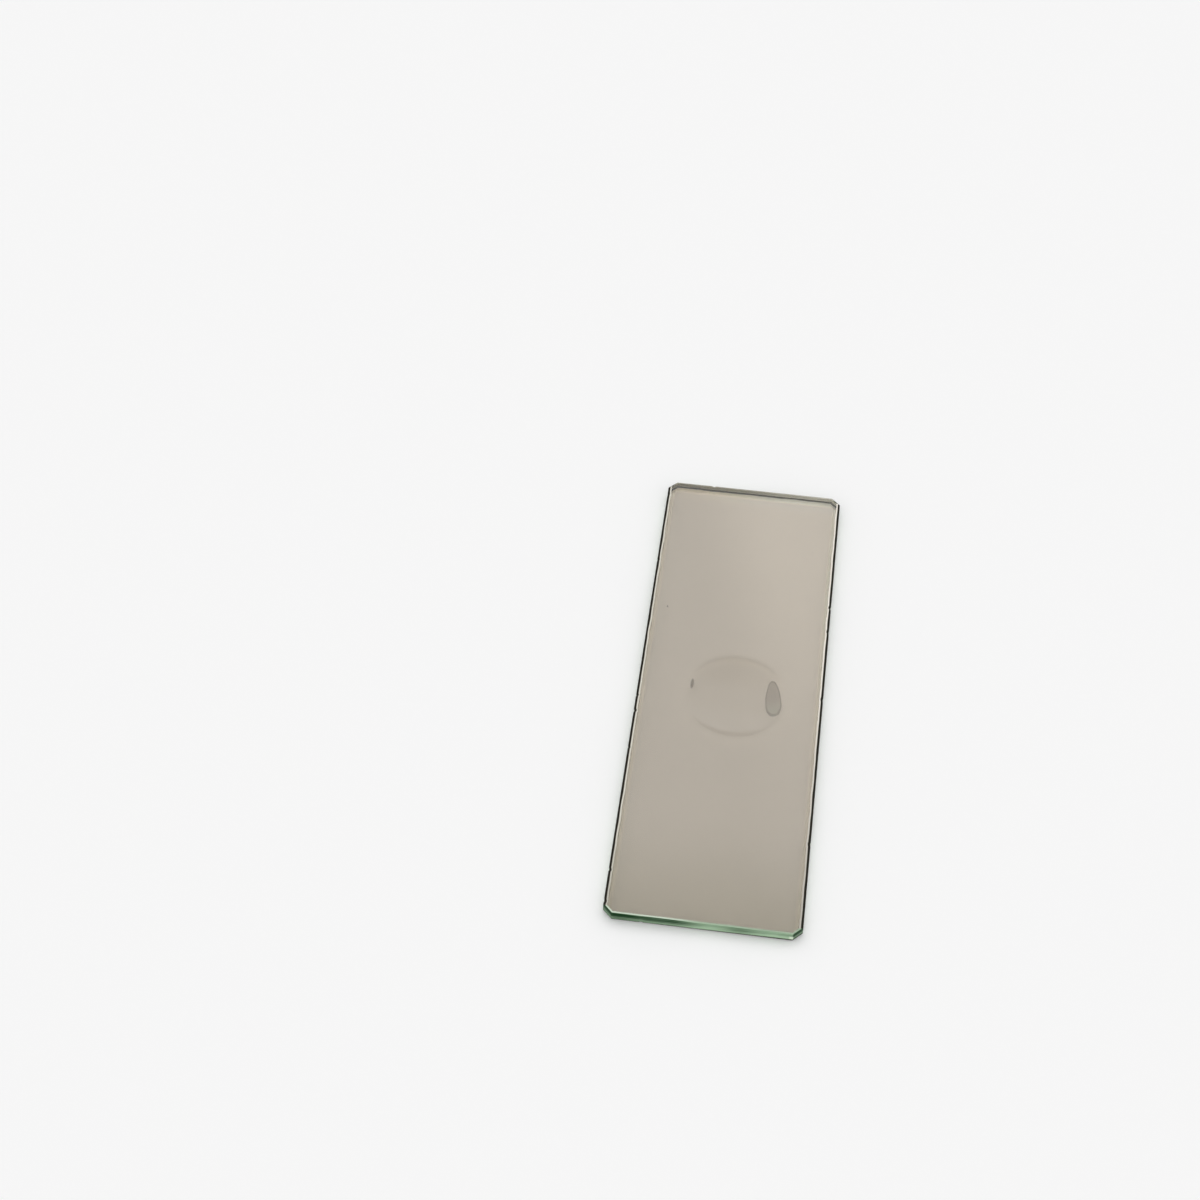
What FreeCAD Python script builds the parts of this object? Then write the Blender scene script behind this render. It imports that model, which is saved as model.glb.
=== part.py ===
import FreeCAD, Part
import math
import os

# A glass microscope slide with one shallow well, for a drop or a living specimen.
# All sizes are in millimetres. The slide lies flat with its well upwards: X runs across it,
# Y along it and Z up. The origin is the middle of the underside.

length = 76.2  # three inches
width = 25.4  # one inch
thickness = 1.4

corner_clip = 1.2  # each corner is cut off at 45 degrees, this far along both sides

# A narrow bevel is ground along every edge of both faces, wider along the sides than at the ends
# and corners. Widths are measured in the plan, and drop and rise along Z.
upper_side_bevel = 0.32
upper_end_bevel = 0.2
upper_bevel_drop = 0.15
lower_side_bevel = 0.2
lower_end_bevel = 0.12
lower_bevel_rise = 0.08

well_diameter = 14.2  # across the rim
well_depth = 0.6
well_offset_x = 0.75  # the well is ground a little off the middle of the slide
well_offset_y = -1.1
rim_rounding = 2.0  # radius that eases the well's wall into the upper face

folder = "parts"
tolerance = 1e-6  # for telling edges apart by their length


def outline(side_inset, end_inset, height):
    """Corner points of the slide's outline, moved in from its sides and from its ends and corners."""
    x, y = width / 2 - side_inset, length / 2 - end_inset
    reach = width / 2 + length / 2 - corner_clip - math.sqrt(2) * end_inset
    corner = [(x, reach - x), (reach - y, y)]
    mirrored = [(-px, py) for px, py in reversed(corner)]
    far_half = corner + mirrored
    near_half = [(-px, -py) for px, py in far_half]
    return [FreeCAD.Vector(px, py, height) for px, py in far_half + near_half]


def flat_face(points):
    return Part.Face(Part.makePolygon(points + points[:1]))


def plate():
    """The slide before its well is ground: sheet glass, cut to shape, with every sharp edge bevelled."""
    levels = [
        outline(lower_side_bevel, lower_end_bevel, 0),
        outline(0, 0, lower_bevel_rise),
        outline(0, 0, thickness - upper_bevel_drop),
        outline(upper_side_bevel, upper_end_bevel, thickness),
    ]
    faces = [flat_face(levels[0]), flat_face(levels[-1])]
    for below, above in zip(levels, levels[1:]):
        for k in range(len(below)):
            j = (k + 1) % len(below)
            faces.append(flat_face([below[k], below[j], above[j], above[k]]))
    return Part.Solid(Part.Shell(faces))


def grinding_ball():
    """The ball whose cap is the well: it meets the upper face on a circle of the well's diameter."""
    rim_radius = well_diameter / 2
    ball_radius = (rim_radius**2 + well_depth**2) / (2 * well_depth)
    ball_height = thickness - well_depth + ball_radius
    return Part.makeSphere(ball_radius, FreeCAD.Vector(well_offset_x, well_offset_y, ball_height))


def is_rim(edge):
    """True for the circle where the well opens in the upper face, told by its length."""
    return abs(edge.Length - math.pi * well_diameter) < tolerance


def slide():
    """The whole slide, one piece of glass."""
    ground = plate().cut(grinding_ball())
    rim = [edge for edge in ground.Edges if is_rim(edge)]
    return ground.makeFillet(rim_rounding, rim)


def export(name, shape):
    os.makedirs(folder, exist_ok=True)
    shape.exportStep(os.path.join(folder, name + ".step"))
    print(name, "valid", shape.isValid(), "solids", len(shape.Solids), "volume", round(shape.Volume, 2))


export("slide", slide())
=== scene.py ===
import math
import random

import bmesh
import bpy
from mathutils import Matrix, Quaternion, Vector, noise
from mathutils.geometry import tessellate_polygon


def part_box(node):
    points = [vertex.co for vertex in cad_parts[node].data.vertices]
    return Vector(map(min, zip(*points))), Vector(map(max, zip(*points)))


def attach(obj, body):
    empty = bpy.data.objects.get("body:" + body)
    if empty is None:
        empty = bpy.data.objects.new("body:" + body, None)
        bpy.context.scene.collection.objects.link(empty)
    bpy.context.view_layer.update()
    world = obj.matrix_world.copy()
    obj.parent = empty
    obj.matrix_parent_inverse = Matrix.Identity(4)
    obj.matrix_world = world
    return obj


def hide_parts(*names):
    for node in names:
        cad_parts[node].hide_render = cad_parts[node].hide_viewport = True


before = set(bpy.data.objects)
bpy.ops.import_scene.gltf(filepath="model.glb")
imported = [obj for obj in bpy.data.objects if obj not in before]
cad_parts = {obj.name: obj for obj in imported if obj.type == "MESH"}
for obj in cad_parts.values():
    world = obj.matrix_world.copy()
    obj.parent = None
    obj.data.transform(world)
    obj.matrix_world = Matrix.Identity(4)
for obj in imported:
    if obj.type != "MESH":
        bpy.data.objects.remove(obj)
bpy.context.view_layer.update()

scene = bpy.context.scene
slideLow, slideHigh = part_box("slide")
print("frame loaded, the slide is", [round(v * 1000, 2) for v in slideHigh - slideLow], "mm")


# ---- small helpers for node trees


def addNode(tree, kind, **settings):
    node = tree.nodes.new(kind)
    for name, value in settings.items():
        setattr(node, name, value)
    return node


def join(tree, source, target):  # source may be a socket or a plain value
    if isinstance(source, bpy.types.NodeSocket):
        tree.links.new(source, target)
    else:
        target.default_value = source


def maths(tree, operation, *values):
    node = addNode(tree, "ShaderNodeMath", operation=operation)
    for socket, value in zip(node.inputs, values):
        join(tree, value, socket)
    return node.outputs[0]


def smoothStep(tree, value, start, end):
    node = addNode(tree, "ShaderNodeMapRange", interpolation_type="SMOOTHSTEP")
    for name, given in (("Value", value), ("From Min", start), ("From Max", end)):
        join(tree, given, node.inputs[name])
    return node.outputs[0]


def mixColours(tree, factor, first, second, blend="MIX"):
    node = addNode(tree, "ShaderNodeMix", data_type="RGBA", blend_type=blend)
    colours = [s for s in node.inputs if s.type == "RGBA"]
    join(tree, factor, node.inputs[0])
    join(tree, first, colours[0])
    join(tree, second, colours[1])
    return next(s for s in node.outputs if s.type == "RGBA")


def noiseField(tree, place, scale, detail=2.0, roughness=0.5):
    node = addNode(tree, "ShaderNodeTexNoise")
    join(tree, place, node.inputs["Vector"])
    for name, given in (("Scale", scale), ("Detail", detail), ("Roughness", roughness)):
        join(tree, given, node.inputs[name])
    return node.outputs["Fac"]


def startGroup(name, inputs, outputs):  # each input or output is (name, socket type, default)
    group = bpy.data.node_groups.new(name, "ShaderNodeTree")
    for direction, sockets in (("INPUT", inputs), ("OUTPUT", outputs)):
        for label, kind, default in sockets:
            socket = group.interface.new_socket(label, in_out=direction, socket_type=kind)
            if default is not None:
                socket.default_value = default
    entry, leave = group.nodes.new("NodeGroupInput"), group.nodes.new("NodeGroupOutput")
    return group, entry.outputs, leave.inputs


def placeGroup(tree, group, **values):
    node = addNode(tree, "ShaderNodeGroup", node_tree=group)
    for name, value in values.items():
        join(tree, value, node.inputs[name])
    return node.outputs


# ---- the slide's mesh

slideForm = {
    "cornerClip": 0.0012,  # cut off each corner, along both sides
    "shoulder": (0.0002, 0.00018),  # soft run-in from face to bevel, at the sides and at the ends
    "shoulderDrop": 0.00002,
    "bevel": (0.00032, 0.00011),  # bevel ground round the upper face
    "bevelDrop": 0.00015,
    "bevelBulge": 0.12,  # how much the bevel is rounded
    "lowerBevel": (0.0002, 0.00045),
    "lowerBevelRise": 0.00008,
    "profileSteps": 5,  # strips in each of shoulder, bevel and side
    "outlineStep": 0.00015,
    "bevelUneven": 0.16,  # share by which the bevel's width wanders
    "unevenFineness": 400.0,
    "edgeWander": 0.00001,  # how far the ground edge strays inwards
    "wanderFineness": (130.0, 1100.0),  # of its broad and its fine part
    "fineWander": 0.12,  # how strong the fine part is
    "chips": 14,
    "chipSize": (0.00015, 0.00035),
    "chipDepth": (0.00004, 0.00012),
    "chipDrop": 0.7,  # how far a chip goes down, as a share of how far it goes in
    "chipsOnTop": 0.6,  # share of them in the upper edge
    "wellCentre": (0.00075, -0.0011),
    "wellRadius": 0.0071,
    "wellDepth": 0.0006,
    "rimRounding": 0.002,
    "wellRings": 40,
    "rimRings": 10,
    "rimMargin": 1.02,  # how far the rings of the eased rim reach past it
    "wellSpokes": 256,
    "sharpAngle": 18.0,  # degrees
    "seed": 7,
}
zones = {"face": 0.0, "shoulder": 1.0, "bevel": 2.0, "side": 3.0, "lowerBevel": 4.0, "under": 5.0}
halfWidth, halfLength = slideHigh.x, slideHigh.y
thickness = slideHigh.z


def outlineCorners(sideInset, endInset):  # anticlockwise from the right side's far corner
    x, y = halfWidth - sideInset, halfLength - endInset
    reach = halfWidth + halfLength - slideForm["cornerClip"] - math.sqrt(2) * endInset
    quarter = [Vector((x, reach - x)), Vector((reach - y, y))]
    mirrored = [Vector((-p.x, p.y)) for p in reversed(quarter)]
    return quarter + mirrored + [-p for p in quarter] + [-p for p in mirrored]


def outlinePoints(insets):
    corners, full = outlineCorners(*insets), outlineCorners(0, 0)
    points = []
    for k, corner in enumerate(corners):
        following = corners[(k + 1) % len(corners)]
        side = (full[(k + 1) % len(full)] - full[k]).length
        count = max(4, round(side / slideForm["outlineStep"]))
        points += [corner.lerp(following, i / count) for i in range(count)]
    return points


# Each level of the profile has its insets at the sides and the ends, its height, its share of the
# way down, and the zone of the strip that starts there.
def edgeProfile():
    form = slideForm
    steps = form["profileSteps"]
    bottom = form["lowerBevelRise"]
    whole = form["bevel"][1] + thickness - bottom
    profile = []

    def add(zone, insets, height):
        down = (form["bevel"][1] - insets[1] + thickness - height) / whole
        profile.append((insets, height, max(0.0, down), zone))

    for k in range(steps):
        share = k / steps
        insets = [b + s * (1 - share) for b, s in zip(form["bevel"], form["shoulder"])]
        add("shoulder", insets, thickness - form["shoulderDrop"] * share**2)
    for k in range(steps):
        share = k / steps
        bulge = 1 - form["bevelBulge"] * math.sin(math.pi * share)
        insets = [b * (1 - share) * bulge for b in form["bevel"]]
        add("bevel", insets, thickness - form["shoulderDrop"] - form["bevelDrop"] * share * bulge)
    top = thickness - form["shoulderDrop"] - form["bevelDrop"]
    for k in range(steps):
        add("side", (0.0, 0.0), top + (bottom - top) * k / steps)
    for share in (0.0, 0.5, 1.0):
        insets = [b * share for b in form["lowerBevel"]]
        profile.append((insets, bottom * (1 - share), 1 + share, "lowerBevel"))
    return profile


def makeChips(outline):
    rng = random.Random(slideForm["seed"])
    chips = []
    for _ in range(slideForm["chips"]):
        place = outline[rng.randrange(len(outline))]
        size, depth = rng.uniform(*slideForm["chipSize"]), rng.uniform(*slideForm["chipDepth"])
        chips.append((place, size, depth, rng.random() < slideForm["chipsOnTop"]))
    return chips


def chipDepthAt(place, chips, upper):
    depth = 0.0
    for centre, size, deep, onTop in chips:
        near = 1 - (place - centre).length / size
        if onTop == upper and near > 0:
            depth = max(depth, deep * min(1, near * 2))
    return depth


def wellHeight(radius):  # height of the upper face at this distance from the well's centre
    rim, depth, easing = (slideForm[k] for k in ("wellRadius", "wellDepth", "rimRounding"))
    ball = (rim**2 + depth**2) / (2 * depth)
    ballHeight = thickness - depth + ball
    easeHeight = thickness - easing
    spread = math.sqrt((ball + easing) ** 2 - (ballHeight - easeHeight) ** 2)
    meet = spread * ball / (ball + easing)
    if radius < meet:
        return ballHeight - math.sqrt(ball**2 - radius**2)
    if radius < spread:
        return easeHeight + math.sqrt(easing**2 - (spread - radius) ** 2)
    return thickness


def wellRadii():
    rim, easing = slideForm["wellRadius"], slideForm["rimRounding"]
    slope = math.asin(2 * rim * slideForm["wellDepth"] / (rim**2 + slideForm["wellDepth"] ** 2))
    reach = easing * math.sin(slope / 2) * slideForm["rimMargin"]
    inner = [(rim - reach) * k / slideForm["wellRings"] for k in range(1, slideForm["wellRings"])]
    outer = [rim - reach + 2 * reach * k / slideForm["rimRings"] for k in range(slideForm["rimRings"] + 1)]
    return inner + outer


def sideLoop(bm, outline, chips, insets, height, share):
    form = slideForm
    upper = height > thickness / 2
    down = bm.verts.layers.float["down"]
    broad, fine = form["wanderFineness"]
    loop = []
    for place, edgePlace in zip(outlinePoints(insets), outline):
        spot = Vector((*edgePlace * form["unevenFineness"], 3.0 if upper else 9.0))
        width = 1 + form["bevelUneven"] * noise.noise(spot)
        strayed = noise.noise(Vector((*edgePlace * broad, 0.0)))
        strayed += form["fineWander"] * noise.noise(Vector((*edgePlace * fine, 5.0)))
        wander = form["edgeWander"] * (1 + strayed) / 2
        chip = chipDepthAt(edgePlace, chips, upper)
        towards = Vector((-edgePlace.x, -edgePlace.y * 0.2)).normalized()  # inwards, mostly across
        here = edgePlace + (place - edgePlace) * width + towards * (wander + chip)
        drop = thickness - height if upper else height
        if drop > 0:
            drop += chip * form["chipDrop"]
        loop.append(bm.verts.new((*here, thickness - drop if upper else drop)))
        loop[-1][down] = share
    return loop


def buildSlideMesh():
    bm = bmesh.new()
    bm.verts.layers.float.new("down")
    zoneOf = bm.faces.layers.float.new("zone")
    atEnd = bm.faces.layers.float.new("atEnd")
    outline = outlinePoints((0, 0))
    chips, profile = makeChips(outline), edgeProfile()
    loops = [sideLoop(bm, outline, chips, *level) for *level, _ in profile]
    for upperLoop, lowerLoop, (*_, zone) in zip(loops, loops[1:], profile):
        for k in range(len(upperLoop)):
            j = (k + 1) % len(upperLoop)
            face = bm.faces.new((upperLoop[k], lowerLoop[k], lowerLoop[j], upperLoop[j]))
            face[zoneOf] = zones[zone]
            face[atEnd] = 1.0 if abs(outline[j].x - outline[k].x) > 1e-6 else 0.0
            face.material_index = 1
    rings = makeWell(bm)
    for face in bm.faces:
        face.smooth = True
    fillFlat(bm, "face", loops[0], rings[-1])
    fillFlat(bm, "under", loops[-1])
    bmesh.ops.recalc_face_normals(bm, faces=bm.faces)
    limit = math.radians(slideForm["sharpAngle"])
    for edge in bm.edges:
        if edge.calc_face_angle(0) > limit:
            edge.smooth = False
    mesh = bpy.data.meshes.new("slideGlass")
    bm.to_mesh(mesh)
    bm.free()
    return mesh


def makeWell(bm):
    cx, cy = slideForm["wellCentre"]
    count = slideForm["wellSpokes"]
    spokes = [(math.cos(2 * math.pi * k / count), math.sin(2 * math.pi * k / count)) for k in range(count)]
    rings = []
    for radius in wellRadii():
        z = wellHeight(radius)
        rings.append([bm.verts.new((cx + radius * c, cy + radius * s, z)) for c, s in spokes])
    for inner, outer in zip(rings, rings[1:]):
        for k in range(count):
            j = (k + 1) % count
            bm.faces.new((inner[k], outer[k], outer[j], inner[j]))
    middle = bm.verts.new((cx, cy, wellHeight(0)))
    for k in range(count):
        bm.faces.new((middle, rings[0][k], rings[0][(k + 1) % count]))
    return rings


def fillFlat(bm, zone, *loops):  # fills a level face between its loops
    verts = [vert for loop in loops for vert in loop]
    zoneOf = bm.faces.layers.float["zone"]
    for corners in tessellate_polygon([[vert.co for vert in loop] for loop in loops]):
        face = bm.faces.new([verts[k] for k in corners])
        face[zoneOf] = zones[zone]
        face.smooth = False


# ---- the glass

glassLook = {
    "face": (0.764, 0.713, 0.637),  # warm grey of the sheet, face on
    "nearShadeTint": (0.76, 0.765, 0.70),  # painted shade over it, towards the near end
    "nearShadeReach": (0.018, 0.043),  # towards the near end: the painted shade starts here, and is full here
    "nearShadePatches": ((70.0, 3.0, 0.3), (900.0, 2.0, 0.16)),  # fineness, detail and share
    "sheenGain": 1.22,  # painted sheen: how much paler the face is towards the far right
    "sheenReach": (-0.002, 0.0125),  # towards the right: the painted sheen starts here, and is full here
    "sheenLean": 0.25,
    "sheenAlong": (-0.02, 0.03, 0.35),  # the same towards the far end, and the share at the near one
    "sideLight": (0.0004, 0.0014, 1.24),  # light let in by the sides: full to here, gone from here, gain
    "endLight": (0.0014, 0.0023, 1.40),
    "endLightTurn": (-0.003, 0.003, 0.65),  # left and right of here, and the share that the left gets
    "lightTint": (1.0, 0.92, 0.66),
    "darkSpots": (  # place, half width, half length, turn in degrees
        # the first is a painted dark reflection in the well, the others are spots of grime
        ((-0.00530, 0.00040), 0.00022, 0.00085, -2.0),
        ((-0.01022, 0.01366), 0.00009, 0.00016, 10.0),
        ((0.0045, -0.0196), 0.00006, 0.00008, 0.0),
        ((0.0094, 0.0268), 0.00005, 0.00011, 40.0),
    ),
    "darkSpot": (0.19, 0.165, 0.135),
    "darkSpotSoftness": 0.25,
    "paintedReflectionPlace": ((0.00592, -0.00062), 0.00105, 0.00316, 6.0),  # painted reflection shaped like a drop, given as the spots
    "paintedReflectionTaper": 0.3,  # how much narrower its upper end is
    "paintedReflection": ((0.525, 0.48, 0.42), (0.565, 0.56, 0.475)),  # at its upper and lower end
    "paintedReflectionRim": (0.34, 0.305, 0.255),
    "paintedReflectionRoundness": 2.2,  # 2 is an oval, more is squarer
    "paintedReflectionWobble": (1400.0, 0.12),  # of its outline: fineness and share
    "paintedReflectionSoftness": 0.03,
    "paintedReflectionRimFrom": (0.80, 0.90),  # the rim starts here and is full here, 1 being the outline
    "paintedReflectionRimTop": (0.35, 1.5),  # the same up along the drop
    "paintedReflectionLower": (0.0, -0.6),  # the lower tint starts here and is full here
    "roughness": 0.008,
    "rimRing": (0.0069, 0.0074, 0.075),  # painted shade along the rim of the well: inner and outer radius, how much darker
    "rimSoftness": (0.0004, 0.0002),  # inwards and outwards
    "rimFarSide": (0.5, 0.85),  # share of the way round to the far side: the shade starts, the shade is full
    "rimNearSide": (-0.7, -1.6),
    "smear": (0.0055, 0.0095, 0.22),  # dulled spot under the well: inner and outer radius, roughness
    "smearTint": 1.08,
    "refraction": 1.52,
}


def paintedShadeAndSheenGroup():  # painted shade over the near end, and a painted sheen over the far right
    group, given, out = startGroup(
        "paintedShadeAndSheen",
        [("Place", "NodeSocketVector", None)],
        [("NearShade", "NodeSocketFloat", None), ("Sheen", "NodeSocketFloat", None)],
    )
    split = addNode(group, "ShaderNodeSeparateXYZ")
    join(group, given["Place"], split.inputs[0])
    across, along = split.outputs["X"], split.outputs["Y"]
    nearShade = smoothStep(group, maths(group, "MULTIPLY", along, -1.0), *glassLook["nearShadeReach"])
    for fineness, detail, share in glassLook["nearShadePatches"]:
        patches = noiseField(group, given["Place"], fineness, detail)
        nearShade = maths(group, "ADD", nearShade, maths(group, "MULTIPLY_ADD", patches, share, -share / 2))
    join(group, nearShade, out["NearShade"])
    leaning = maths(group, "MULTIPLY_ADD", along, glassLook["sheenLean"], across)
    sheened = smoothStep(group, leaning, *glassLook["sheenReach"])
    start, full, least = glassLook["sheenAlong"]
    strong = maths(group, "MULTIPLY_ADD", smoothStep(group, along, start, full), 1 - least, least)
    join(group, maths(group, "MULTIPLY", sheened, strong), out["Sheen"])
    return group


def ovalPlace(tree, place, centre, halfWide, halfLong, turn):  # in the oval's own frame, 1 at its edge
    mapping = addNode(tree, "ShaderNodeMapping", vector_type="TEXTURE")
    join(tree, place, mapping.inputs["Vector"])
    join(tree, (*centre, thickness), mapping.inputs["Location"])
    join(tree, (0.0, 0.0, math.radians(turn)), mapping.inputs["Rotation"])
    join(tree, (halfWide, halfLong, 0.001), mapping.inputs["Scale"])
    return mapping.outputs[0]


def darkMarksGroup():  # dark spots, each an oval with a soft edge: grime, and one painted dark reflection in the well; and a painted reflection shaped like a drop, with a darker rim
    group, given, out = startGroup(
        "darkMarks",
        [("Place", "NodeSocketVector", None)],
        [("DarkSpots", "NodeSocketFloat", None), ("DropReflection", "NodeSocketFloat", None)]
        + [("Rim", "NodeSocketFloat", None), ("Lower", "NodeSocketFloat", None)],
    )
    darkMarks = 0.0
    soft = glassLook["darkSpotSoftness"]
    for darkSpot in glassLook["darkSpots"]:
        away = addNode(group, "ShaderNodeVectorMath", operation="LENGTH")
        join(group, ovalPlace(group, given["Place"], *darkSpot), away.inputs[0])
        darkMarks = maths(group, "MAXIMUM", darkMarks, smoothStep(group, away.outputs["Value"], 1 + soft, 1 - soft))
    join(group, darkMarks, out["DarkSpots"])
    split = addNode(group, "ShaderNodeSeparateXYZ")
    join(group, ovalPlace(group, given["Place"], *glassLook["paintedReflectionPlace"]), split.inputs[0])
    across, along = split.outputs["X"], split.outputs["Y"]
    width = maths(group, "MULTIPLY_ADD", along, -glassLook["paintedReflectionTaper"], 1.0)
    roundness = glassLook["paintedReflectionRoundness"]
    reach = maths(group, "DIVIDE", maths(group, "ABSOLUTE", across), width)
    reach = maths(group, "POWER", reach, roundness)
    reach = maths(group, "ADD", reach, maths(group, "POWER", maths(group, "ABSOLUTE", along), roundness))
    reach = maths(group, "POWER", reach, 1 / roundness)
    fineness, share = glassLook["paintedReflectionWobble"]
    uneven = maths(group, "MULTIPLY_ADD", noiseField(group, given["Place"], fineness), share, -share / 2)
    reach = maths(group, "ADD", reach, uneven)
    soft = glassLook["paintedReflectionSoftness"]
    paintedReflection = smoothStep(group, reach, 1 + soft, 1 - soft)
    join(group, paintedReflection, out["DropReflection"])
    rim = smoothStep(group, reach, *glassLook["paintedReflectionRimFrom"])
    rim = maths(group, "MAXIMUM", rim, smoothStep(group, along, *glassLook["paintedReflectionRimTop"]))
    join(group, maths(group, "MULTIPLY", rim, paintedReflection), out["Rim"])
    join(group, smoothStep(group, along, *glassLook["paintedReflectionLower"]), out["Lower"])
    return group


def lifted(tree, distance, near, far, gain):  # gain close to an edge, easing to 1 further in
    more = maths(tree, "SUBTRACT", gain, 1.0)
    return maths(tree, "MULTIPLY_ADD", smoothStep(tree, distance, far, near), more, 1.0)


def edgeLight(tree, place, below):  # how much brighter the glass is where its edges let light in
    split = addNode(tree, "ShaderNodeSeparateXYZ")
    join(tree, place, split.inputs[0])
    fromSide = maths(tree, "SUBTRACT", halfWidth, maths(tree, "ABSOLUTE", split.outputs["X"]))
    fromEnd = maths(tree, "SUBTRACT", halfLength, split.outputs["Y"])
    fromEnd = maths(tree, "MULTIPLY_ADD", below, thickness / 2, fromEnd)
    atSide = lifted(tree, fromSide, *glassLook["sideLight"])
    near, far, gain = glassLook["endLight"]
    left, right, share = glassLook["endLightTurn"]
    rightward = smoothStep(tree, split.outputs["X"], left, right)
    more = gain - 1
    gain = maths(tree, "MULTIPLY_ADD", rightward, more * (1 - share), 1 + more * share)
    return maths(tree, "MULTIPLY", atSide, lifted(tree, fromEnd, near, far, gain))


def rimShadeGroup():  # painted shade on the rim of the well, at its far and near side
    group, given, out = startGroup(
        "rimShade",
        [("Place", "NodeSocketVector", None)],
        [("Shaded", "NodeSocketFloat", None)],
    )
    inner, outer, share = glassLook["rimRing"]
    offset = addNode(group, "ShaderNodeVectorMath", operation="SUBTRACT")
    join(group, given["Place"], offset.inputs[0])
    join(group, (*slideForm["wellCentre"], thickness), offset.inputs[1])
    away = addNode(group, "ShaderNodeVectorMath", operation="LENGTH")
    join(group, offset.outputs[0], away.inputs[0])
    split = addNode(group, "ShaderNodeSeparateXYZ")
    join(group, offset.outputs[0], split.inputs[0])
    radius = away.outputs["Value"]
    inwards, outwards = glassLook["rimSoftness"]
    rimShading = smoothStep(group, radius, inner - inwards, inner)
    ending = smoothStep(group, radius, outer + outwards, outer - outwards)
    rimShading = maths(group, "MULTIPLY", rimShading, ending)
    towards = maths(group, "DIVIDE", split.outputs["Y"], radius)
    farSide = smoothStep(group, towards, *glassLook["rimFarSide"])
    nearSide = smoothStep(group, towards, *glassLook["rimNearSide"])
    aside = maths(group, "MAXIMUM", farSide, nearSide)
    rimShading = maths(group, "MULTIPLY", rimShading, maths(group, "MULTIPLY", aside, share))
    join(group, rimShading, out["Shaded"])
    return group


def inZone(tree, zone, name):  # 1 on the faces of this zone, 0 elsewhere
    return maths(tree, "COMPARE", zone, zones[name], 0.5)


def glassMaterial(marks, darkMarks, ring):
    material = bpy.data.materials.new("slideGlass")
    material.use_nodes = True
    tree = material.node_tree
    shader = tree.nodes["Principled BSDF"]
    shader.inputs["Transmission Weight"].default_value = 1.0
    shader.inputs["IOR"].default_value = glassLook["refraction"]
    place = addNode(tree, "ShaderNodeTexCoord").outputs["Object"]
    zone = addNode(tree, "ShaderNodeAttribute", attribute_name="zone").outputs["Fac"]
    below = inZone(tree, zone, "under")
    above = maths(tree, "SUBTRACT", 1.0, below)
    mask = placeGroup(tree, marks, Place=place)
    # painted shade towards the near end, then a painted sheen towards the far right
    nearShade = maths(tree, "MULTIPLY", mask["NearShade"], above)
    colour = mixColours(tree, nearShade, (*glassLook["face"], 1), (*glassLook["nearShadeTint"], 1), "MULTIPLY")
    sheened = tuple(c * glassLook["sheenGain"] for c in glassLook["face"])
    colour = mixColours(tree, maths(tree, "MULTIPLY", mask["Sheen"], above), colour, (*sheened, 1))
    gain = edgeLight(tree, place, below)
    lift = addNode(tree, "ShaderNodeCombineXYZ")  # the light let in is a little warm
    for axis, share in zip("XYZ", glassLook["lightTint"]):
        join(tree, maths(tree, "MULTIPLY_ADD", gain, share, 1 - share), lift.inputs[axis])
    lit = addNode(tree, "ShaderNodeVectorMath", operation="MULTIPLY")
    join(tree, colour, lit.inputs[0])
    join(tree, lift.outputs[0], lit.inputs[1])
    colour = lit.outputs[0]
    # a painted reflection shaped like a drop, and dark spots: grime and one painted dark reflection
    marked = placeGroup(tree, darkMarks, Place=place)
    paintedReflection = mixColours(tree, marked["Lower"], *((*tint, 1) for tint in glassLook["paintedReflection"]))
    paintedReflection = mixColours(tree, marked["Rim"], paintedReflection, (*glassLook["paintedReflectionRim"], 1))
    colour = mixColours(tree, maths(tree, "MULTIPLY", marked["DropReflection"], above), colour, paintedReflection)
    darkSpots = maths(tree, "MULTIPLY", marked["DarkSpots"], above)
    colour = mixColours(tree, darkSpots, colour, (*glassLook["darkSpot"], 1))
    # painted shade along the rim of the well
    rimShading = placeGroup(tree, ring, Place=place)["Shaded"]
    colour = mixColours(tree, maths(tree, "MULTIPLY", rimShading, above), colour, (0.0, 0.0, 0.0, 1.0))
    inner, outer, smeared = glassLook["smear"]
    away = addNode(tree, "ShaderNodeVectorMath", operation="DISTANCE")
    join(tree, place, away.inputs[0])
    join(tree, (*slideForm["wellCentre"], 0.0), away.inputs[1])
    spot = maths(tree, "SUBTRACT", 1.0, smoothStep(tree, away.outputs["Value"], inner, outer))
    spot = maths(tree, "MULTIPLY", spot, below)
    smearTint = tuple(c * glassLook["smearTint"] for c in glassLook["face"])
    join(tree, mixColours(tree, spot, colour, (*smearTint, 1)), shader.inputs["Base Color"])
    rough = maths(tree, "MULTIPLY_ADD", spot, smeared, glassLook["roughness"])
    join(tree, rough, shader.inputs["Roughness"])
    return material


# ---- the ground edge

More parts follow.
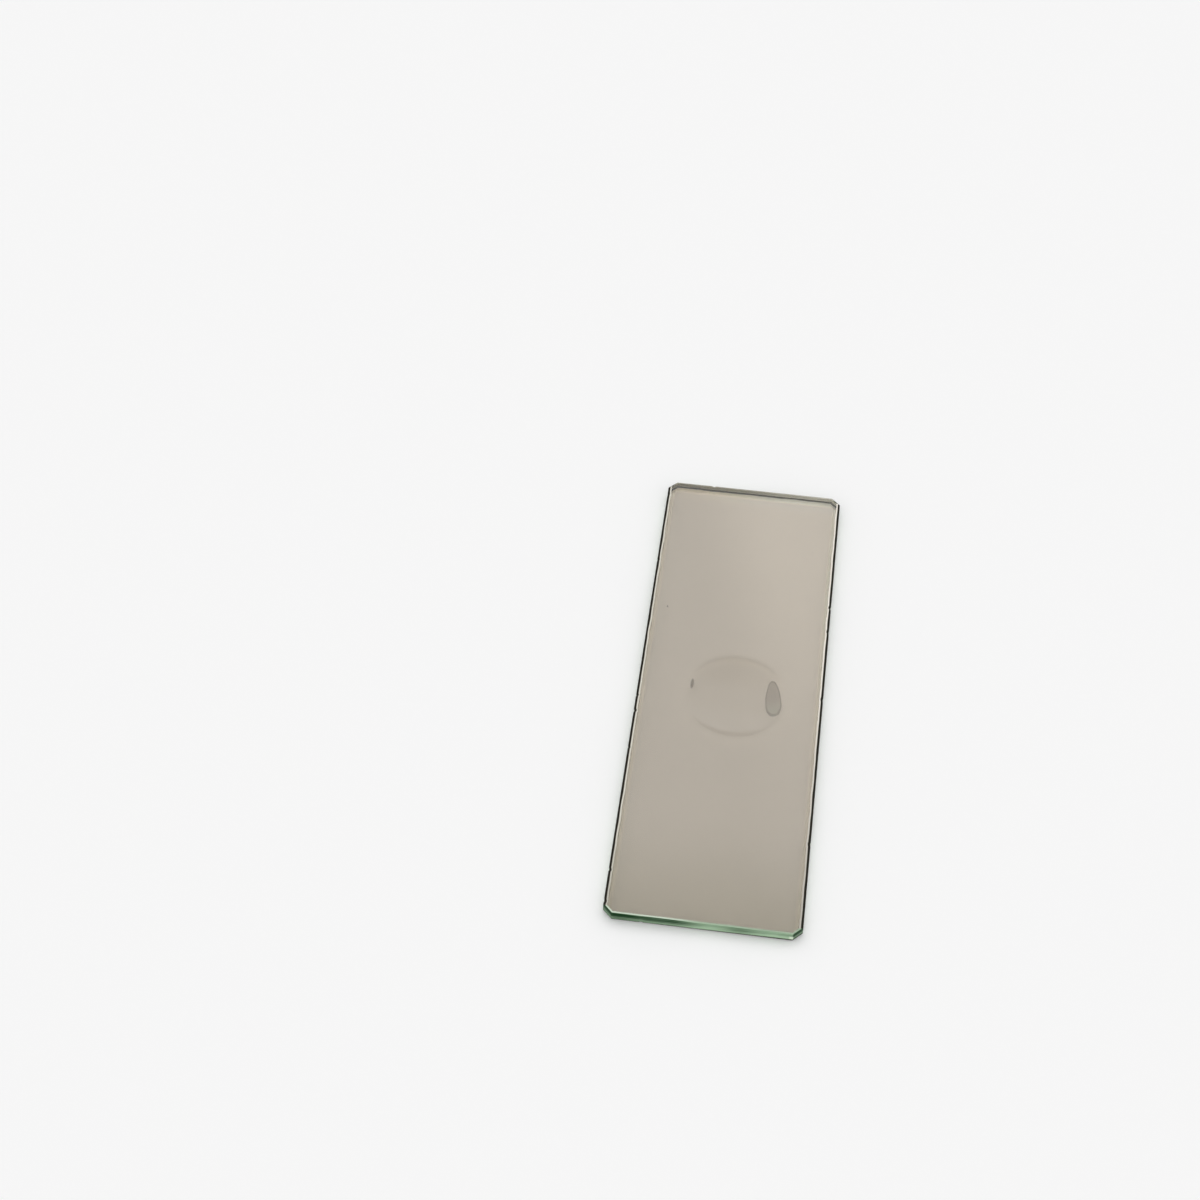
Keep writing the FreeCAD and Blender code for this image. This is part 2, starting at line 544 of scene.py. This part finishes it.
edgeLook = {
    "longShoulder": ((0.70, 0.67, 0.585), (0.90, 0.85, 0.76)),  # left and right; the right one painted lighter, as the lit side
    "nearCorner": ((0.52, 0.50, 0.43), (0.52, 0.49, 0.43)),  # the same, where they reach the near corners: painted shade
    # near black: a painted dark reflection along the long bevels
    "longBevel": (0.018, 0.016, 0.011),
    "nearShoulder": ((0.62, 0.72, 0.59), (0.38, 0.46, 0.35)),  # painted highlight along the near end, left and right
    # far end, left and right: painted shade on the left
    "farShoulder": ((0.32, 0.30, 0.24), (0.52, 0.50, 0.42)),
    # painted shade on the clipped far corners
    "farClip": (0.10, 0.095, 0.07),
    "insideEnd": ((0.47, 0.44, 0.31), (0.98, 0.94, 0.77)),  # an end seen through the glass, left and right: painted shade on the left, painted light on the right
    # painted shade along the foot of an end seen through the glass
    "insideFoot": (0.045, 0.036, 0.0),
    "longSide": (0.60, 0.65, 0.56),
    "longPale": 0.6,  # how far the long sides' own colour hides their green
    # the green of the ends, in bands of painted light and shade for the light led along the glass
    "lightSide": (0.44, 0.62, 0.42),
    "darkSide": (0.0, 0.035, 0.004),
    # painted shadow at the foot of the ends
    "footSide": (0.025, 0.03, 0.01),
    "glint": (0.72, 0.84, 0.66),
    "roughness": (0.25, 0.5),
    "specular": 0.07,
    "grain": 0.00001,  # height of the grinding marks
    "grainFineness": 1500.0,
    "grainStretch": 4.0,  # how much longer than high the marks are
}
streakForm = {  # places across and along are in metres, and places down run from 0 at the top to 1
    "strength": 0.60,
    "uneven": (350.0, 0.2),  # fineness along the edge, share
    "waves": ((0.040, 0.0116, 0.30), (0.013, 0.0064, 0.12), (0.008, 0.003, 0.14)),  # length, start, share
    "limits": (0.22, 1.12),
    "cornerAcross": (0.0113, 0.0116),  # the corners are painted dark from here, and the same along
    "cornerAlong": (0.03, 0.037),
    "sag": (180.0, 6.0, 0.18),  # fineness along and down, share
    "top": (0.0, 0.1),
    "fade": (0.36, 0.88, 0.46),  # from here, to here, and by how much
    "threads": (120.0, 11.0, 0.3),  # fineness along and down, share
    "threadLimits": (0.35, 0.65),
    "foot": (0.90, 0.95),
    "footRise": 5.5,  # how much higher the painted shadow at the foot stands towards the right
    "glintAcross": (0.0109, 0.0112, 0.0115, 0.0116),  # starts, is full, fades, is gone
    "glintDown": (0.4, 0.55, 0.8, 0.9),
}
edgeBlends = {  # where one look gives way to another
    "far": (-0.001, 0.001),
    "right": (-0.001, 0.001),
    "rightward": (-0.004, 0.011),
    "nearShoulder": (-0.004, 0.0),
    "leftCorner": (-0.038, -0.02),
    "rightCorner": (-0.04, 0.012),
    "longInside": (-0.037, 0.0),
    "insideFoot": (1.25, 1.4),
    "upperClip": (0.55, 0.15),
    "clipWidth": 0.0004,
    "farRun": 0.017,  # the far half has streaks of its own
}


def edgeStreaksGroup():  # painted dark streaks along the edge under its bevel, a painted shadow at its foot, and a painted glint at a corner
    group, given, out = startGroup(
        "edgeStreaks",
        [("Place", "NodeSocketVector", None)] + [(name, "NodeSocketFloat", 0.0) for name in ("Run", "Down")],
        [(name, "NodeSocketFloat", None) for name in ("Dark", "Foot", "Glint")],
    )
    split = addNode(group, "ShaderNodeSeparateXYZ")
    join(group, given["Place"], split.inputs[0])
    across, run, down = split.outputs["X"], given["Run"], given["Down"]

    def streaks(fineness, layers, detail):  # noise drawn out along the edge
        spot = addNode(group, "ShaderNodeCombineXYZ")
        join(group, maths(group, "MULTIPLY", run, fineness), spot.inputs["X"])
        join(group, maths(group, "MULTIPLY", down, layers), spot.inputs["Y"])
        return noiseField(group, spot.outputs[0], 1.0, detail)

    def within(value, places):  # rises between the first two places and falls between the last two
        start, full, fades, gone = places
        rise, fall = smoothStep(group, value, start, full), smoothStep(group, value, gone, fades)
        return maths(group, "MULTIPLY", rise, fall)

    form = streakForm
    fineness, share = form["uneven"]
    strength = maths(group, "MULTIPLY_ADD", streaks(fineness, 0.0, 1.0), share, form["strength"])
    for length, start, share in form["waves"]:
        turn = maths(group, "MULTIPLY", maths(group, "ADD", run, start), 2 * math.pi / length)
        strength = maths(group, "MULTIPLY_ADD", maths(group, "COSINE", turn), share, strength)
    beside = smoothStep(group, maths(group, "ABSOLUTE", across), *form["cornerAcross"])
    beyond = smoothStep(group, maths(group, "ABSOLUTE", split.outputs["Y"]), *form["cornerAlong"])
    strength = maths(group, "MAXIMUM", strength, maths(group, "MULTIPLY", beside, beyond))
    least, most = form["limits"]
    strength = maths(group, "MINIMUM", maths(group, "MAXIMUM", strength, least), most)
    fineness, layers, share = form["sag"]
    sag = maths(group, "MULTIPLY_ADD", streaks(fineness, layers, 2.0), share, -share / 2)
    down = maths(group, "ADD", down, sag)
    dark = maths(group, "MULTIPLY", strength, smoothStep(group, down, *form["top"]))
    start, end, share = form["fade"]
    dark = maths(group, "MULTIPLY_ADD", smoothStep(group, down, start, end), -share, dark)
    fineness, layers, share = form["threads"]
    threads = smoothStep(group, streaks(fineness, layers, 1.0), *form["threadLimits"])
    threads = maths(group, "MULTIPLY_ADD", threads, share, -share / 2)
    dark = maths(group, "ADD", maths(group, "MAXIMUM", dark, 0.0), threads)
    join(group, maths(group, "MINIMUM", maths(group, "MAXIMUM", dark, 0.0), 1.0), out["Dark"])
    foot = maths(group, "MULTIPLY_ADD", across, form["footRise"], given["Down"])
    join(group, smoothStep(group, foot, *form["foot"]), out["Foot"])
    sideways, downwards = within(across, form["glintAcross"]), within(given["Down"], form["glintDown"])
    join(group, maths(group, "MULTIPLY", sideways, downwards), out["Glint"])
    return group


def grindingGroup():  # fine marks left by the wheel, drawn out along the edge
    group, given, out = startGroup(
        "grinding",
        [("Place", "NodeSocketVector", None)],
        [("Mark", "NodeSocketFloat", None)],
    )
    stretch = addNode(group, "ShaderNodeVectorMath", operation="MULTIPLY")
    join(group, given["Place"], stretch.inputs[0])
    join(group, (1.0, 1.0, edgeLook["grainStretch"]), stretch.inputs[1])
    marks = noiseField(group, stretch.outputs[0], edgeLook["grainFineness"], 3.0)
    join(group, marks, out["Mark"])
    return group


# the ground edge is opaque: the light led along the glass, and its shade, highlights and shadows, are
# painted into its colours
def groundMaterial(streaks, grinding):
    material = bpy.data.materials.new("groundEdge")
    material.use_nodes = True
    tree = material.node_tree
    shader = tree.nodes["Principled BSDF"]
    shader.inputs["Specular IOR Level"].default_value = edgeLook["specular"]
    place = addNode(tree, "ShaderNodeTexCoord").outputs["Object"]
    split = addNode(tree, "ShaderNodeSeparateXYZ")
    join(tree, place, split.inputs[0])
    across, along = split.outputs["X"], split.outputs["Y"]

    def attribute(name):
        return addNode(tree, "ShaderNodeAttribute", attribute_name=name).outputs["Fac"]

    zone, atEnd, down = attribute("zone"), attribute("atEnd"), attribute("down")
    look, blend = {}, edgeBlends
    for name, value in edgeLook.items():
        if isinstance(value, tuple) and len(value) == 3:
            look[name] = (*value, 1)
    for name in ("longShoulder", "nearCorner", "nearShoulder", "farShoulder", "insideEnd"):
        look[name] = [(*tint, 1) for tint in edgeLook[name]]
    isFar = smoothStep(tree, along, *blend["far"])
    isRight = smoothStep(tree, across, *blend["right"])
    run = maths(tree, "MULTIPLY_ADD", maths(tree, "SUBTRACT", across, along), atEnd, along)
    run = maths(tree, "MULTIPLY_ADD", isFar, blend["farRun"], run)
    band = placeGroup(tree, streaks, Place=place, Run=run, Down=down)
    # bands of painted light and shade, then the painted shadow at the foot and the painted glint
    green = mixColours(tree, band["Dark"], look["lightSide"], look["darkSide"])
    green = mixColours(tree, band["Foot"], green, look["footSide"])
    green = mixColours(tree, band["Glint"], green, look["glint"])
    rightward = smoothStep(tree, across, *blend["rightward"])
    # the end seen through the glass: painted shade on the left and at its foot, painted light on the right
    inside = mixColours(tree, rightward, *look["insideEnd"])
    atFoot = smoothStep(tree, down, *blend["insideFoot"])
    inside = mixColours(tree, atFoot, inside, look["insideFoot"])
    longOutside = mixColours(tree, edgeLook["longPale"], green, look["longSide"])
    outside = mixColours(tree, atEnd, longOutside, green)
    longInside = mixColours(tree, smoothStep(tree, along, *blend["longInside"]), green, look["longSide"])
    clip = halfWidth - slideForm["cornerClip"]
    atClip = smoothStep(tree, maths(tree, "ABSOLUTE", across), clip, clip + blend["clipWidth"])
    atClip = maths(tree, "MULTIPLY", atClip, isFar)
    upperClip = maths(tree, "MULTIPLY", atClip, smoothStep(tree, down, *blend["upperClip"]))
    inside = mixColours(tree, upperClip, inside, look["farClip"])
    inside = mixColours(tree, atEnd, longInside, inside)
    pairs = list(zip(look["nearCorner"], look["longShoulder"]))
    left = mixColours(tree, smoothStep(tree, along, *blend["leftCorner"]), *pairs[0])
    right = mixColours(tree, smoothStep(tree, along, *blend["rightCorner"]), *pairs[1])
    nearShoulder = mixColours(tree, smoothStep(tree, across, *blend["nearShoulder"]), *look["nearShoulder"])
    shoulderEnd = mixColours(tree, isFar, nearShoulder, mixColours(tree, rightward, *look["farShoulder"]))
    shoulderEnd = mixColours(tree, atClip, shoulderEnd, look["farClip"])
    bevelEnd = mixColours(tree, atClip, green, look["farClip"])
    # shoulders with painted light and shade, bevels near black as a painted dark reflection
    tints = {
        "shoulder": mixColours(tree, atEnd, mixColours(tree, isRight, left, right), shoulderEnd),
        "bevel": mixColours(tree, atEnd, look["longBevel"], bevelEnd),
    }
    turned = addNode(tree, "ShaderNodeNewGeometry").outputs["Backfacing"]
    colour = mixColours(tree, turned, outside, inside)
    for name, tint in tints.items():
        colour = mixColours(tree, inZone(tree, zone, name), colour, tint)
    mark = placeGroup(tree, grinding, Place=place)["Mark"]
    join(tree, colour, shader.inputs["Base Color"])
    smooth, dull = edgeLook["roughness"]
    join(tree, maths(tree, "MULTIPLY_ADD", mark, dull - smooth, smooth), shader.inputs["Roughness"])
    bump = addNode(tree, "ShaderNodeBump")
    bump.inputs["Distance"].default_value = edgeLook["grain"]
    join(tree, mark, bump.inputs["Height"])
    join(tree, bump.outputs[0], shader.inputs["Normal"])
    return material


def makeSlide():
    piece = bpy.data.objects.new("slideGlass", buildSlideMesh())
    scene.collection.objects.link(piece)
    piece.data.materials.append(glassMaterial(paintedShadeAndSheenGroup(), darkMarksGroup(), rimShadeGroup()))
    piece.data.materials.append(groundMaterial(edgeStreaksGroup(), grindingGroup()))
    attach(piece, "root")
    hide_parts("slide")
    print("slide made,", len(piece.data.polygons), "faces")
    return piece


# ---- floor, light and camera

stageLook = {
    "floorColour": (0.98, 0.98, 0.98),
    "floorReach": 6.0,
    "airGap": 0.00005,  # the slide rests on dust, not on the floor itself
    "skyLevel": 0.815,
    # turn to the right, height, half width, half height and softness in degrees, and level
    "card": (-1.5, 51.2, 36.0, 22.0, 6.0, 0.46),
    "ovals": (  # turn, height, half width, half height, lean, softness, and share added or taken away
        (-1.15, 51.65, 14.2, 15.9, 0.0, 0.12, 0.70),
        (-1.15, 68.6, 14.0, 2.6, 0.0, 0.6, -0.16),
        (-1.15, 66.0, 24.0, 9.0, 0.0, 0.6, -0.15),
        (-1.15, 40.0, 22.0, 5.0, 0.0, 0.4, 0.11),
    ),
}
cameraLook = {
    "place": (0.00458, -0.19135, 0.23923),
    "turn": (40.93, -0.70, 7.60),  # degrees about X, Y and Z
    "lens": 66.76,
}


def makeFloor():
    bpy.ops.mesh.primitive_plane_add(size=2 * stageLook["floorReach"], location=(0, 0, -stageLook["airGap"]))
    floor = bpy.context.object
    floor.name = "floor"
    material = bpy.data.materials.new("floorPaint")
    material.use_nodes = True
    paint = material.node_tree.nodes["Principled BSDF"]
    paint.inputs["Base Color"].default_value = (*stageLook["floorColour"], 1)
    paint.inputs["Roughness"].default_value = 1.0
    paint.inputs["Specular IOR Level"].default_value = 0.0
    floor.data.materials.append(material)


def directionAt(turn, height):
    a, e = math.radians(turn), math.radians(height)
    return Vector((math.sin(a) * math.cos(e), math.cos(a) * math.cos(e), math.sin(e)))


def anglesFrom(tree, direction, turn, height, lean=0.0):  # across and up from a point of the sky
    ahead = directionAt(turn, height)
    across = Vector((math.cos(math.radians(turn)), -math.sin(math.radians(turn)), 0))
    across.rotate(Quaternion(ahead, math.radians(lean)))
    upward = across.cross(ahead)

    def along(axis):
        node = addNode(tree, "ShaderNodeVectorMath", operation="DOT_PRODUCT")
        join(tree, direction, node.inputs[0])
        join(tree, tuple(axis), node.inputs[1])
        return node.outputs["Value"]

    depth = along(ahead)
    return [maths(tree, "ARCTAN2", along(axis), depth) for axis in (across, upward)]


def softCard(tree, direction, turn, height, halfWide, halfHigh, softness):
    lit = 1.0
    for angle, half in zip(anglesFrom(tree, direction, turn, height), (halfWide, halfHigh)):
        beyond = maths(tree, "SUBTRACT", maths(tree, "ABSOLUTE", angle), math.radians(half))
        inside = maths(tree, "MULTIPLY", beyond, -1.0)
        edge = math.radians(softness / 2)
        lit = maths(tree, "MULTIPLY", lit, smoothStep(tree, inside, -edge, edge))
    return lit


def softOval(tree, direction, turn, height, halfWide, halfHigh, lean, softness):
    reach = 0.0
    for angle, half in zip(anglesFrom(tree, direction, turn, height, lean), (halfWide, halfHigh)):
        share = maths(tree, "DIVIDE", angle, math.radians(half))
        reach = maths(tree, "MULTIPLY_ADD", share, share, reach)
    return maths(tree, "SUBTRACT", 1.0, smoothStep(tree, reach, 1 - softness, 1 + softness))


def makeLight():
    world = bpy.data.worlds.new("studio")
    world.use_nodes = True
    scene.world = world
    tree = world.node_tree
    tree.nodes.clear()
    direction = addNode(tree, "ShaderNodeTexCoord").outputs["Generated"]
    level = stageLook["skyLevel"]
    *shape, cardLevel = stageLook["card"]
    level = maths(tree, "MULTIPLY_ADD", softCard(tree, direction, *shape), cardLevel, level)
    for *shape, share in stageLook["ovals"]:
        change = maths(tree, "MULTIPLY_ADD", softOval(tree, direction, *shape), share, 1.0)
        level = maths(tree, "MULTIPLY", level, change)
    studio = addNode(tree, "ShaderNodeBackground")
    studio.inputs["Color"].default_value = (1, 1, 1, 1)
    join(tree, level, studio.inputs["Strength"])
    tree.links.new(studio.outputs[0], addNode(tree, "ShaderNodeOutputWorld").inputs["Surface"])


def makeCamera():
    camera = bpy.data.objects.new("camera", bpy.data.cameras.new("camera"))
    scene.collection.objects.link(camera)
    camera.location = cameraLook["place"]
    camera.rotation_euler = [math.radians(t) for t in cameraLook["turn"]]
    camera.data.lens = cameraLook["lens"]
    camera.data.clip_start, camera.data.clip_end = 0.01, 50.0
    scene.camera = camera


scene.view_settings.view_transform = "Standard"
makeSlide()
makeFloor()
makeLight()
makeCamera()
print("floor, light and camera made")
